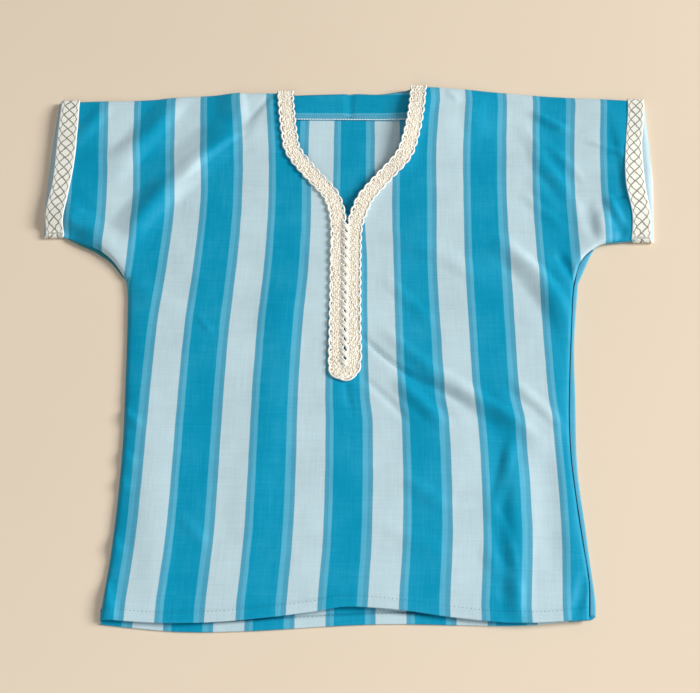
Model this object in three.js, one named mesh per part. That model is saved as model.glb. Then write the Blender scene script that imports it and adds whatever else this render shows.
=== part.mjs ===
// A child's striped cotton gandoura, laid flat on a surface with its front up.
//
// Drafting frame, in millimetres: x runs from the wearer's right to left across the
// garment, y from the hem (about 0) to the shoulders (about 400), and z up from the
// surface. The finished group is then moved so that its origin is the bottom centre.
//
// From the surface up, the layers are: the backs of the neck braid and cuff bands, the
// back panel, the back neck facing, the front panel, and the fronts of the trims.

import * as THREE from "three";

// ---- Driving dimensions ----------------------------------------------------------

const CLOTH = 1.2;            // wall of the front and back panels
const FACING = 1.0;           // wall of the back neck facing
const BRAID = 1.5;            // thickness of the crochet braid
const BAND = 1.0;             // thickness of the woven cuff band
const GAP = 0.3;              // space between two layers that are sewn together
const LOFT = 2.0;             // height at which the front lies loose over the back
const EDGE_ROLL = 14;         // width over which the front rolls down to a closed edge
const HEM_DEPTH = 6.5;        // depth of the turned hem
const HEM_RISE = 0.5;         // extra height of the turned hem
const SHOULDER = 400;         // nominal height of the shoulder line
const UNDERARM = { x: 150, y: 236 };   // corner where the side seam meets the sleeve
const V_POINT = { x: -2, y: 289 };     // bottom of the neck opening
const BRAID_HALF = { placket: 5.15, neck: 5.75 };   // half widths of the braid
const BRAID_WIDENS = { from: 275, to: 290 };        // heights between those two widths
const BAND_WIDTH = 12.9;      // width of the cuff band
const WRAP_CLEAR = 0.4;       // space between a cloth edge and the trim around it
const FACING_FOOT = 374.2;    // lower edge of the back neck facing
const FACING_HALF = 52;       // half length of the back neck facing

// ---- Edges of the two panels -----------------------------------------------------
// Each table is read as a smooth line through its rows. The first column is the
// coordinate along the edge and the second is the edge's place at that point.

const FRONT = {
  hem: line([[-145, 0.5], [-100, -1.5], [-60, 0.8], [-20, 6], [0, 9.2], [30, 7.5],
    [60, 3.5], [100, 0.2], [142, 2.5]]),
  sideLeft: line([[0, -144], [50, -141.2], [110, -141], [150, -143], [220, -147.5],
    [236, -150]]),
  sideRight: line([[0, 141.2], [25, 143], [50, 141.4], [85, 139.2], [115, 138.5],
    [150, 140.5], [220, 147.7], [236, 150]]),
  underarmLeft: line([[-210, 270.8], [-195, 270.4], [-189, 267.6], [-180, 263.5],
    [-170, 259], [-160, 250.5], [-150, 236]]),
  underarmRight: line([[150, 236], [155, 251], [161, 259.5], [172, 267], [190, 270.3],
    [208, 271.3]]),
  shoulder: line([[-212, 388.8], [-160, 391.6], [-110, 396.6], [-62, 397.7], [-40, 398],
    [40, 403.6], [60, 404.1], [105, 402], [132, 399.4], [183, 395.2], [214, 393.3]]),
  cuffLeft: line([[268, -207.3], [290, -209.5], [315, -207.8], [360, -209.2], [392, -209.7]]),
  cuffRight: line([[270, 205.1], [290, 206.3], [315, 205.2], [350, 206.4], [370, 209.4],
    [396, 212.7]]),
  neckLeft: line([[289, -2], [296.5, -5], [308, -10.5], [323.5, -20.5], [336, -31.5],
    [348, -36.5], [366.5, -40], [399, -43]]),
  neckRight: line([[289, -2], [300, 4.5], [314, 10.5], [327, 20.5], [339.5, 30],
    [356.5, 36.5], [376.5, 40.5], [404, 43.2]]),
};

const BACK = {
  hem: line([[-145, -1.5], [-100, -5.5], [-60, -5], [0, -1], [30, 0], [100, -0.3], [148, 4]]),
  sideLeft: line([[0, -143.5], [50, -140.7], [110, -140.5], [150, -142.5], [220, -147],
    [236, -149.5]]),
  sideRight: line([[0, 144.8], [12, 146.2], [30, 145.4], [60, 144], [100, 142.2], [150, 144.7],
    [190, 147], [236, 153]]),
  underarmLeft: line([[-214, 271.4], [-194.5, 270.8], [-189, 267], [-180, 262.2],
    [-170, 257.5], [-160, 249], [-149.5, 236]]),
  underarmRight: line([[153, 236], [158, 242.5], [162, 248], [168, 256], [174, 262.5],
    [184, 266.8], [191, 270.4], [213, 272]]),
  shoulder: line([[-214, 388.6], [-160, 391.4], [-110, 396.4], [-62, 397.4], [-43, 397.4],
    [-40, 396.9], [0, 398.7], [20, 398.3], [40, 401], [44, 403], [60, 403.8],
    [105, 401.8], [132, 399.2], [183, 395], [214, 393.1]]),
  cuffLeft: line([[268, -209.4], [300, -212], [350, -213], [392, -212.6]]),
  cuffRight: line([[270, 207.2], [300, 209.9], [340, 212.5], [396, 213.2]]),
};

// Inner edges of the two woven cuff bands on the front, as x at each height.
const BAND_INNER = {
  left: line([[268, -195], [280, -197], [300, -196.5], [330, -195], [360, -195.7],
    [392, -197.5]]),
  right: line([[270, 192], [290, 193.8], [315, 191.7], [340, 193.5], [380, 199.5],
    [396, 201]]),
};

// Centre line of the neck braid: on each side of the front it is x at each height, and
// on the back it is the height at each x. The tape turns on a pivot at the foot of the
// placket and at each end of the back neck.
const BRAID_LINE = {
  left: line([[169, -8.35], [270, -8.35], [287, -8.8], [298, -11], [307.5, -15],
    [325.5, -29], [343.5, -41], [356.5, -44], [376.5, -46.5], [398, -48.3]]),
  right: line([[169, 2.35], [178, 3], [192, 2.6], [210, 2.4], [270, 2.6], [285, 4.2],
    [294.5, 7], [303.5, 10.5], [322.5, 24], [339.5, 37], [356.5, 42.5], [376.5, 46.3],
    [404, 49.2]]),
  back: line([[-42.3, 391.9], [0, 393.9], [20, 393.6], [43.3, 396.3]]),
};
const FOOT_PIVOT = { x: -3, y: 169, radius: 5.35 };
const BACK_PIVOTS = {
  left: { x: -42.3, y: 397.8, radius: 5.9 },
  right: { x: 43.3, y: 402.2, radius: 5.9 },
};

// Main creases of the front. Each runs from (x0, y0) to (x1, y1) and bows sideways by
// bow at its middle. reach is its half width and rise its height; a trough is negative.
const CREASES = [
  { x0: -63, y0: 394, x1: -80, y1: 354, bow: 2, reach: 9, rise: -0.9 },
  { x0: -79, y0: 357, x1: -149, y1: 260, bow: 9, reach: 13, rise: 1.5 },
  { x0: -128, y0: 378, x1: -192, y1: 332, bow: -12, reach: 13, rise: 1.1 },
  { x0: -193, y0: 301, x1: -192, y1: 272, bow: 0, reach: 7, rise: 0.9 },
  { x0: -150, y0: 240, x1: -112, y1: 212, bow: 4, reach: 10, rise: 0.8 },
  { x0: -150, y0: 148, x1: -122, y1: 147, bow: 0, reach: 8, rise: 0.7 },
  { x0: 91, y0: 395, x1: 92, y1: 358, bow: 3, reach: 12, rise: 1.1 },
  { x0: 133, y0: 380, x1: 152, y1: 364, bow: 0, reach: 7, rise: 0.8 },
  { x0: 131, y0: 360, x1: 156, y1: 334, bow: 3, reach: 8, rise: 1.0 },
  { x0: 128, y0: 344, x1: 152, y1: 314, bow: 3, reach: 8, rise: 1.0 },
  { x0: 128, y0: 324, x1: 144, y1: 295, bow: 3, reach: 8, rise: 0.8 },
  { x0: 164, y0: 301, x1: 168, y1: 269, bow: 2, reach: 7, rise: -1.1 },
  { x0: 176, y0: 294, x1: 174, y1: 268, bow: 2, reach: 8, rise: 1.2 },
  { x0: 128, y0: 253, x1: 154, y1: 236, bow: 3, reach: 9, rise: 1.3 },
  { x0: 100, y0: 256, x1: 128, y1: 236, bow: 2, reach: 9, rise: -0.9 },
  { x0: 14, y0: 184, x1: 62, y1: 136, bow: -4, reach: 9, rise: -0.8 },
  { x0: 94, y0: 147, x1: 120, y1: 129, bow: 3, reach: 11, rise: 1.6 },
  { x0: 82, y0: 137, x1: 114, y1: 118, bow: -3, reach: 9, rise: -1.5 },
  { x0: 94, y0: 116, x1: 95, y1: 2, bow: 1, reach: 8, rise: -1.0 },
  { x0: 103, y0: 114, x1: 103, y1: 4, bow: 1, reach: 10, rise: 1.2 },
  { x0: 124, y0: 112, x1: 124, y1: 32, bow: 2, reach: 14, rise: -1.4 },
  { x0: 38, y0: 88, x1: 62, y1: 76, bow: 2, reach: 9, rise: 0.7 },
  { x0: -120, y0: 116, x1: -112, y1: 8, bow: 3, reach: 16, rise: 0.8 },
  { x0: -46, y0: 248, x1: -62, y1: 58, bow: -5, reach: 18, rise: 0.7 },
];

// ---- Small mathematics -----------------------------------------------------------

// A smooth line through rows of [along, place], as a function of along.
function line(rows) {
  const slope = (i) => {
    const before = rows[Math.max(i - 1, 0)];
    const after = rows[Math.min(i + 1, rows.length - 1)];
    return (after[1] - before[1]) / (after[0] - before[0]);
  };
  return (along) => {
    const clamped = THREE.MathUtils.clamp(along, rows[0][0], rows[rows.length - 1][0]);
    const next = Math.max(1, rows.findIndex(([at]) => at >= clamped));
    const [a0, p0] = rows[next - 1];
    const [a1, p1] = rows[next];
    const span = a1 - a0;
    const t = (clamped - a0) / span;
    const ease = t * t * (3 - 2 * t);
    const leave = t * (1 - t) * (1 - t) * span * slope(next - 1);
    const arrive = t * t * (t - 1) * span * slope(next);
    return p0 + (p1 - p0) * ease + leave + arrive;
  };
}

const step = (value, from, to) => THREE.MathUtils.smoothstep(value, from, to);
const mix = THREE.MathUtils.lerp;

// Evenly spaced numbers from one end to the other, both included.
function spaced(from, to, widest) {
  const count = Math.max(1, Math.ceil(Math.abs(to - from) / widest));
  return Array.from({ length: count + 1 }, (_, i) => mix(from, to, i / count));
}

// ---- Heights of the layers -------------------------------------------------------

const RAMP = 45;              // width over which a panel climbs onto what lies under it
const NECK_FLAT = { x: 66, y: 372 };   // the panels are level over the neck trims here
const CUFF_FLAT = 186;        // and over the cuff bands beyond this distance from centre

// 1 over the neck's trims, falling to 0 away from them.
function overNeck(x, y) {
  const across = 1 - step(Math.abs(x), NECK_FLAT.x, NECK_FLAT.x + RAMP);
  return across * step(y, NECK_FLAT.y - RAMP, NECK_FLAT.y);
}

// Extra thickness of a panel's turned hem.
function hemRise(panel, x, y) {
  return HEM_RISE * (1 - step(y - panel.hem(x), HEM_DEPTH, HEM_DEPTH + 1.5));
}

// Underside and top of the back panel, which lies on the surface or on its trims.
function backUnder(x, y) {
  const onBraid = (BRAID + GAP) * overNeck(x, y);
  const onBand = (BAND + GAP) * step(Math.abs(x), CUFF_FLAT - RAMP, CUFF_FLAT);
  return onBraid + onBand;
}

const backTop = (x, y) => backUnder(x, y) + CLOTH + hemRise(BACK, x, y);

// Lowest underside of the front panel: on the back panel, its hem or the facing.
function frontRest(x, y) {
  const onFacing = (FACING + GAP) * overNeck(x, y);
  const onHem = HEM_RISE * (1 - step(y, 12, 40));
  return backUnder(x, y) + CLOTH + GAP + onFacing + onHem;
}

// Distance from a point of the front to the nearest shoulder, side or underarm edge.
function toClosedEdge(x, y) {
  const side = x < 0 ? FRONT.sideLeft : FRONT.sideRight;
  const underarm = x < 0 ? FRONT.underarmLeft : FRONT.underarmRight;
  const below = FRONT.shoulder(x) - y;
  if (y < UNDERARM.y) return Math.min(below, Math.abs(side(y) - x));
  if (Math.abs(x) > UNDERARM.x) return Math.min(below, y - underarm(x));
  return Math.min(below, Math.hypot(UNDERARM.x - Math.abs(x), y - UNDERARM.y));
}

// Height that one crease adds at a point: full along its middle, nothing at its ends.
function creaseAt({ x0, y0, x1, y1, bow, reach, rise }, x, y) {
  const length = Math.hypot(x1 - x0, y1 - y0);
  const along = { x: (x1 - x0) / length, y: (y1 - y0) / length };
  const t = ((x - x0) * along.x + (y - y0) * along.y) / length;
  const sideways = (x - x0) * along.y - (y - y0) * along.x - bow * 4 * t * (1 - t);
  const across = Math.max(0, 1 - (sideways / reach) ** 2);
  const taper = step(t, -0.2, 0.3) * (1 - step(t, 0.7, 1.2));
  return rise * across * across * taper;
}

// Underside and top of the front panel, with its rolled edges and creases.
function frontUnder(x, y) {
  const inward = THREE.MathUtils.clamp(toClosedEdge(x, y) / EDGE_ROLL, 0, 1);
  const roll = Math.sqrt(1 - (1 - inward) ** 2);
  const loose = LOFT * (0.45 + 0.55 * step(y, 0, 60));
  const creases = CREASES.reduce((sum, crease) => sum + creaseAt(crease, x, y), 0);
  return frontRest(x, y) + Math.max(0, roll * (loose + creases));
}

const frontTop = (x, y) => frontUnder(x, y) + CLOTH + hemRise(FRONT, x, y);

// ---- Solids ----------------------------------------------------------------------

function geometry(positions, triangles) {
  const made = new THREE.BufferGeometry();
  made.setAttribute("position", new THREE.Float32BufferAttribute(positions, 3));
  made.setIndex(triangles);
  made.computeVertexNormals();
  return made;
}

// A sheet of four-sided cells between an underside and a top, closed along its rim.
// Each patch is a grid of {x, y} points, and patches that meet share their points.
function sheet(patches, under, top) {
  const points = [];
  const places = new Map();
  const indexOf = ({ x, y }) => {
    const place = `${x.toFixed(4)},${y.toFixed(4)}`;
    if (!places.has(place)) places.set(place, points.push({ x, y }) - 1);
    return places.get(place);
  };
  const faces = [];
  for (const patch of patches) {
    const grid = patch.map((row) => row.map(indexOf));
    for (let row = 0; row + 1 < grid.length; row += 1) {
      for (let col = 0; col + 1 < grid[row].length; col += 1) {
        const [a, b] = [grid[row][col], grid[row][col + 1]];
        const [d, c] = [grid[row + 1][col], grid[row + 1][col + 1]];
        faces.push([a, b, c], [a, c, d]);
      }
    }
  }
  const size = points.length;
  const rim = new Map();
  const triangles = [];
  for (const [a, b, c] of faces) {
    triangles.push(a + size, b + size, c + size, a, c, b);
    for (const [from, to] of [[a, b], [b, c], [c, a]]) {
      if (!rim.delete(`${to},${from}`)) rim.set(`${from},${to}`, [from, to]);
    }
  }
  for (const [from, to] of rim.values()) {
    triangles.push(from, to, to + size, from, to + size, from + size);
  }
  const lower = points.flatMap(({ x, y }) => [x, y, under(x, y)]);
  const upper = points.flatMap(({ x, y }) => [x, y, top(x, y)]);
  return geometry([...lower, ...upper], triangles);
}

// A closed loop of tape. Each section has a row of points on the tape's cloth side and
// a row of as many on its outer side.
function tapeLoop(sections) {
  const ring = sections[0].inner.length * 2;
  const positions = sections.flatMap(({ inner, outer }) =>
    [...inner, ...[...outer].reverse()].flatMap(({ x, y, z }) => [x, y, z]));
  const triangles = [];
  sections.forEach((_, here) => {
    const next = (here + 1) % sections.length;
    for (let i = 0; i < ring; i += 1) {
      const j = (i + 1) % ring;
      const [a, b] = [here * ring + i, here * ring + j];
      const [d, c] = [next * ring + i, next * ring + j];
      triangles.push(a, c, b, a, d, c);
    }
  });
  return geometry(positions, triangles);
}

// ---- Panels ----------------------------------------------------------------------

const ROLL_ROWS = [3, 9, 18];  // distances of a panel's rows from a rolled edge
const FRONT_CELL = 9.4;       // widest cell of the front panel's surface
const BACK_CELL = 18;         // and of the back panel's, away from the sleeves

// Nominal heights of a panel's rows, close together at hem, underarm and shoulder.
function rowHeights(widest) {
  const hem = [0, HEM_DEPTH, HEM_DEPTH + 1.5];
  const armpit = ROLL_ROWS.map((distance) => UNDERARM.y + distance);
  const top = ROLL_ROWS.map((distance) => SHOULDER - distance).reverse();
  const body = spaced(hem[2], UNDERARM.y, widest);
  const chest = spaced(armpit[2], V_POINT.y, widest);
  const yoke = spaced(V_POINT.y, top[0], widest);
  return [...new Set([...hem, ...body, ...armpit, ...chest, ...yoke, ...top, SHOULDER])];
}

// Height at x of the row of a nominal height: rows follow the hem and the shoulders.
function rowAt(panel, x, nominal) {
  const nearHem = 1 - step(nominal, 20, 110);
  const nearShoulder = THREE.MathUtils.clamp((nominal - 250) / 130, 0, 1);
  return nominal + panel.hem(x) * nearHem + (panel.shoulder(x) - SHOULDER) * nearShoulder;
}

// One half of a panel's body, from its side edge to its centre or neck edge.
function bodyPatch(panel, sign, rows, widest, neck) {
  const side = sign < 0 ? panel.sideLeft : panel.sideRight;
  const cells = Math.ceil((UNDERARM.x - ROLL_ROWS[1]) / widest);
  return rows.map((nominal) => {
    const outer = side(Math.min(nominal, UNDERARM.y));
    const slit = neck && nominal > V_POINT.y;
    const inner = slit ? neck(rowAt(panel, neck(nominal), nominal)) : V_POINT.x;
    const rolled = outer - sign * ROLL_ROWS[1];
    const even = spaced(0, 1, 1 / cells).map((t) => mix(rolled, inner, t));
    const columns = [outer, outer - sign * ROLL_ROWS[0], ...even];
    const points = columns.map((x) => ({ x, y: rowAt(panel, x, nominal) }));
    return sign < 0 ? points : points.reverse();
  });
}

// Height in a sleeve of a row that leaves the body at a given height. Near the
// underarm and the shoulder it keeps its distance to that edge.
function sleeveRowAt(low, high, rise, full) {
  const margin = ROLL_ROWS[2];
  if (rise <= margin) return low + rise;
  if (full - rise <= margin) return high - (full - rise);
  const share = (rise - margin) / (full - 2 * margin);
  return mix(low + margin, high - margin, share);
}

// One sleeve, from the body's outer column to the cuff edge. Its last column but one
// is the inner edge of the cuff band.
function sleevePatch(panel, sign, rows) {
  const side = sign < 0 ? "Left" : "Right";
  const [underarm, cuff] = [panel[`underarm${side}`], panel[`cuff${side}`]];
  const bandEdge = BAND_INNER[sign < 0 ? "left" : "right"];
  const start = panel[`side${side}`](UNDERARM.y);
  const full = panel.shoulder(start) - UNDERARM.y;
  const cells = Math.ceil((CUFF_FLAT + 8 - UNDERARM.x) / FRONT_CELL);
  return rows.filter((nominal) => nominal >= UNDERARM.y).map((nominal) => {
    const first = { x: start, y: rowAt(panel, start, nominal) };
    const rise = first.y - UNDERARM.y;
    const yAt = (x) => sleeveRowAt(underarm(x), panel.shoulder(x), rise, full);
    const cuffY = yAt(cuff(UNDERARM.y));
    const even = spaced(0, 1, 1 / cells).map((t) => mix(start, bandEdge(cuffY), t));
    const columns = [...even.slice(1), cuff(cuffY)];
    const points = [first, ...columns.map((x) => ({ x, y: yAt(x) }))];
    return sign < 0 ? points.reverse() : points;
  });
}

// The four patches of a panel: two halves of the body and two sleeves.
function panelPatches(panel, widest, necks) {
  const rows = rowHeights(widest);
  return [
    bodyPatch(panel, -1, rows, widest, necks && panel.neckLeft),
    bodyPatch(panel, 1, rows, widest, necks && panel.neckRight),
    sleevePatch(panel, -1, rows),
    sleevePatch(panel, 1, rows),
  ];
}

const frontPanel = () => sheet(panelPatches(FRONT, FRONT_CELL, true), frontUnder, frontTop);
const backPanel = () => sheet(panelPatches(BACK, BACK_CELL, false), backUnder, backTop);

function backNeckFacing() {
  const under = (x, y) => backUnder(x, y) + CLOTH + GAP;
  const top = (x, y) => under(x, y) + FACING;
  const columns = spaced(-FACING_HALF, FACING_HALF, 8);
  const rows = spaced(0, 1, 0.5).map((t) =>
    columns.map((x) => ({ x, y: mix(FACING_FOOT, BACK.shoulder(x) - GAP, t) })));
  return sheet([rows], under, top);
}

// ---- Trims -----------------------------------------------------------------------

// A row of points on the front panel, moved out to the tape's two sides.
function onFront(points, thickness) {
  const inner = points.map(({ x, y }) => ({ x, y, z: frontTop(x, y) + GAP }));
  return { inner, outer: inner.map((p) => ({ ...p, z: p.z + thickness })) };
}

// A row of points of the tape that lies on the surface, under the back panel.
function underBack(points, thickness) {
  const at = (z) => points.map(({ x, y }) => ({ x, y, z }));
  return { inner: at(thickness), outer: at(0) };
}

// The two sections that carry a tape around an edge, from the front section to the
// back one. outward is 1 where the edge faces up the garment and -1 where it faces down.
function aroundEdge(front, back, outward, thickness) {
  const corner = (section, level) => {
    const inner = section.inner.map((p) => ({ ...p, y: p.y + outward * WRAP_CLEAR }));
    const outer = inner.map((p) => ({
      x: p.x,
      y: p.y + outward * thickness,
      z: p.z + level * thickness * 0.6,
    }));
    return { inner, outer };
  };
  return [corner(front, 1), corner(back, -1)];
}

// Points across the tape at a place on its centre line, from its outer edge inwards.
function acrossTape(centre, outward, half) {
  return [half, 0, -half].map((reach) => ({
    x: centre.x + outward.x * reach,
    y: centre.y + outward.y * reach,
  }));
}

// Points across the tape as it turns about a pivot, at an angle in degrees.
function acrossTurn(pivot, degrees, half) {
  const angle = THREE.MathUtils.degToRad(degrees);
  const outward = { x: Math.cos(angle), y: Math.sin(angle) };
  const centre = {
    x: pivot.x + outward.x * pivot.radius,
    y: pivot.y + outward.y * pivot.radius,
  };
  return acrossTape(centre, outward, half);
}

// Rows of points up one side of the front, from the placket's foot to the shoulder.
function braidUpFront(side, sign) {
  const centreLine = BRAID_LINE[side];
  const shoulder = FRONT.shoulder(centreLine(SHOULDER));
  const rolled = ROLL_ROWS.map((distance) => shoulder - distance).reverse();
  const placket = spaced(FOOT_PIVOT.y, BRAID_WIDENS.from, 11);
  const neck = spaced(BRAID_WIDENS.from, rolled[0], 6.5);
  const heights = [...placket, ...neck.slice(1), ...rolled.slice(1), shoulder];
  return heights.map((y) => {
    const lean = y > rolled[0] ? 0 : (centreLine(y + 1) - centreLine(y - 1)) / 2;
    const length = Math.hypot(1, lean);
    const outward = { x: sign / length, y: (-sign * lean) / length };
    const widening = step(y, BRAID_WIDENS.from, BRAID_WIDENS.to);
    const half = mix(BRAID_HALF.placket, BRAID_HALF.neck, widening);
    return acrossTape({ x: centreLine(y), y }, outward, half);
  });
}

// Rows of points around the back neck, from the left shoulder to the right one.
function braidRoundBack(leftEdge, rightEdge) {
  const { left, right } = BACK_PIVOTS;
  const half = BRAID_HALF.neck;
  const turnLeft = spaced(180, 270, 22.5).map((angle) => acrossTurn(left, angle, half));
  const turnRight = spaced(270, 360, 22.5).map((angle) => acrossTurn(right, angle, half));
  const between = spaced(left.x, right.x, 11).slice(1, -1);
  const straight = between.map((x) =>
    acrossTape({ x, y: BRAID_LINE.back(x) }, { x: 0, y: -1 }, half));
  return [leftEdge, ...turnLeft, ...straight, ...turnRight, rightEdge];
}

// The neck braid is one loop: up the left of the front, over the shoulder, around the
// back neck, down the right of the front, and around the foot of the placket.
function neckBraid() {
  const left = braidUpFront("left", -1);
  const right = braidUpFront("right", 1).reverse();
  const back = braidRoundBack(left[left.length - 1], right[0]);
  const foot = spaced(0, -180, 30).slice(1, -1)
    .map((angle) => acrossTurn(FOOT_PIVOT, angle, BRAID_HALF.placket));
  const leftRun = left.map((row) => onFront(row, BRAID));
  const rightRun = right.map((row) => onFront(row, BRAID));
  const backRun = back.map((row) => underBack(row, BRAID));
  return tapeLoop([
    ...leftRun,
    ...aroundEdge(leftRun[leftRun.length - 1], backRun[0], 1, BRAID),
    ...backRun,
    ...aroundEdge(rightRun[0], backRun[backRun.length - 1], 1, BRAID).reverse(),
    ...rightRun,
    ...foot.map((row) => onFront(row, BRAID)),
  ]);
}

// A cuff band is one loop around the sleeve's edge. Its front lies on the last column
// of the front panel's sleeve, and its back on the surface under the back panel.
function cuffBand(sign) {
  const sleeve = sleevePatch(FRONT, sign, rowHeights(FRONT_CELL));
  const frontRows = sleeve.map((row) => {
    const [edge, end] = sign < 0 ? [row[1], row[0]] : row.slice(-2);
    return [{ x: end.x + sign * WRAP_CLEAR, y: end.y }, edge];
  });
  const cuff = sign < 0 ? BACK.cuffLeft : BACK.cuffRight;
  const backRows = frontRows.map(([{ y }]) => {
    const end = cuff(y) + sign * WRAP_CLEAR;
    return [{ x: end, y }, { x: end - sign * BAND_WIDTH, y }];
  }).reverse();
  const front = frontRows.map((row) => onFront(row, BAND));
  const back = backRows.map((row) => underBack(row, BAND));
  const sections = [
    ...front,
    ...aroundEdge(front[front.length - 1], back[0], 1, BAND),
    ...back,
    ...aroundEdge(front[0], back[back.length - 1], -1, BAND).reverse(),
  ];
  return tapeLoop(sign < 0 ? sections : sections.reverse());
}

// ---- The garment -----------------------------------------------------------------

const CLOTH_LOOK = { color: "#1f93b8", roughness: 0.8, metalness: 0 };
const PIECES = [
  { name: "back_panel", shape: backPanel, look: CLOTH_LOOK },
  { name: "front_panel", shape: frontPanel, look: CLOTH_LOOK },
  { name: "back_neck_facing", shape: backNeckFacing, look: CLOTH_LOOK },
  { name: "neck_braid", shape: neckBraid, look: { color: "#ece4d2", roughness: 0.9 } },
  { name: "cuff_band_left", shape: () => cuffBand(-1), look: { color: "#e6e6dc" } },
  { name: "cuff_band_right", shape: () => cuffBand(1), look: { color: "#e6e6dc" } },
];

const gandoura = new THREE.Group();
for (const { name, shape, look } of PIECES) {
  const material = new THREE.MeshStandardMaterial({ roughness: 0.85, metalness: 0, ...look });
  const piece = new THREE.Mesh(shape(), material);
  piece.name = name;
  gandoura.add(piece);
}

const extent = new THREE.Box3().setFromObject(gandoura);
const middle = extent.getCenter(new THREE.Vector3());
gandoura.position.set(-middle.x, -middle.y, -extent.min.z);

export default gandoura;
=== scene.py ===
"""A child's striped cotton gandoura, laid flat on the floor with its front up.

Sizes are in millimetres in the drafting frame: x runs across the garment with 0 at the
centre front, y runs up from the hem to the shoulders, and z up from the floor. placed()
turns them into metres in the shared frame.
"""

import math

import bmesh
import bpy
import numpy as np
from mathutils import Matrix, Vector, noise


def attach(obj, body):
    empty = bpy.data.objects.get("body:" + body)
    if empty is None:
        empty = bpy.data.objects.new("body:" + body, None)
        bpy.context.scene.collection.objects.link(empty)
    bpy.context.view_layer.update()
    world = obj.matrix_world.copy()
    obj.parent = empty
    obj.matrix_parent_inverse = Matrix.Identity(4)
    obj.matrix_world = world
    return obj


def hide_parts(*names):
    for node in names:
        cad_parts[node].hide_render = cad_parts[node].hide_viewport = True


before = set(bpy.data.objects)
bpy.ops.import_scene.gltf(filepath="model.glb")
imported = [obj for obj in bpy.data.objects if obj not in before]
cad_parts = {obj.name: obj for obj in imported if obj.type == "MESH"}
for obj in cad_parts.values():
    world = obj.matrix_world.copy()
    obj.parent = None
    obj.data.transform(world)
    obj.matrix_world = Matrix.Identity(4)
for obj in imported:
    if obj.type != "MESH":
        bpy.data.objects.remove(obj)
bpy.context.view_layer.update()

scene = bpy.context.scene

# ---- The cut and how it lies ----

CLOTH = 1.2  # wall of the solids that the cloth follows
BRAID_SOLID = 1.5  # thickness of the braid's solid
BAND_SOLID = 1.0  # thickness of the cuff band's solid
GAP = 0.3  # space between two of the solids
FACING_SOLID = 1.0  # wall of the facing's solid
LOFT = 2.0  # height at which the front lies loose over the back
EDGE_ROLL = 14.0  # width over which the front rolls down to a closed edge
SHOULDER = 400.0  # nominal height of the shoulder line
UNDERARM = (150.0, 236.0)  # corner where the side seam meets the sleeve
V_POINT = (-2.0, 289.0)  # foot of the neck opening
FACING_FOOT = 374.2  # lower edge of the back neck facing
RAMP = 45.0  # width over which a panel climbs onto what lies under it
NECK_FLAT = (66.0, 372.0)  # the panels are level over the neck trims here
CUFF_FLAT = 186.0  # and over the cuff bands beyond this distance from centre
SHEET = 0.42  # thickness of the cotton
HEM_TURN = 6.5  # depth of the turned hem
HEM_FOLD = 0.3  # radius of the fold at the hem
HEM_ARC = math.pi * HEM_FOLD  # length of cloth in that fold
SIDE_FOLD = 0.75  # inset of the back where it folds up along its open side
FOLD_PROFILE = (  # reach outward from the open side, and height
    (-0.75, 0), (-0.4, 0.04), (-0.1, 0.17), (0, 0.36), (-0.1, 0.58), (-0.45, 0.85), (-1, 1.06),
    (-1.9, 1.26), (-3.1, 1.4), (-5, 1.5), (-8, 1.5),
)
ROUND = 3.0  # width over which the front turns down at a closed edge
FOLD_ROUND = 1.4  # the same beside the back's open side, where it wraps up
BACK_LIFT = 0.24  # height of the back's cotton over its underside
LEAST_SPACE = 1.76  # least height of the front's face over the back's underside
HEM_STEP = 0.5  # how much higher the front lies over each turned hem
SLEEVE_REACH = 212.0  # distance from the centre to the sleeves' ends
CUFF_AT = 203.0  # distance from the centre at which a cuff band's ends are set
CUFF_MIDDLE = 330.0  # height of the middle of the sleeves' ends
ORIGIN = (0.0786, 200.0933)  # the shared frame's origin in the drafting frame


def step(value, low, high):
    """0 below low, 1 above high, and a smooth rise between."""
    t = np.clip((value - low) / (high - low), 0, 1)
    return t * t * (3 - 2 * t)


def line(*rows):
    """A smooth line through rows of (along, place), as a function of along."""
    at, place = np.array(rows, float).T
    after = np.minimum(np.arange(len(at)) + 1, len(at) - 1)
    before = np.maximum(np.arange(len(at)) - 1, 0)
    slope = (place[after] - place[before]) / (at[after] - at[before])

    def read(along):
        along = np.clip(along, at[0], at[-1])
        i = np.clip(np.searchsorted(at, along), 1, len(at) - 1)
        span = at[i] - at[i - 1]
        t = (along - at[i - 1]) / span
        rise = (place[i] - place[i - 1]) * t * t * (3 - 2 * t)
        leave = t * (1 - t) ** 2 * span * slope[i - 1]
        arrive = t * t * (t - 1) * span * slope[i]
        return place[i - 1] + rise + leave + arrive

    return read


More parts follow.
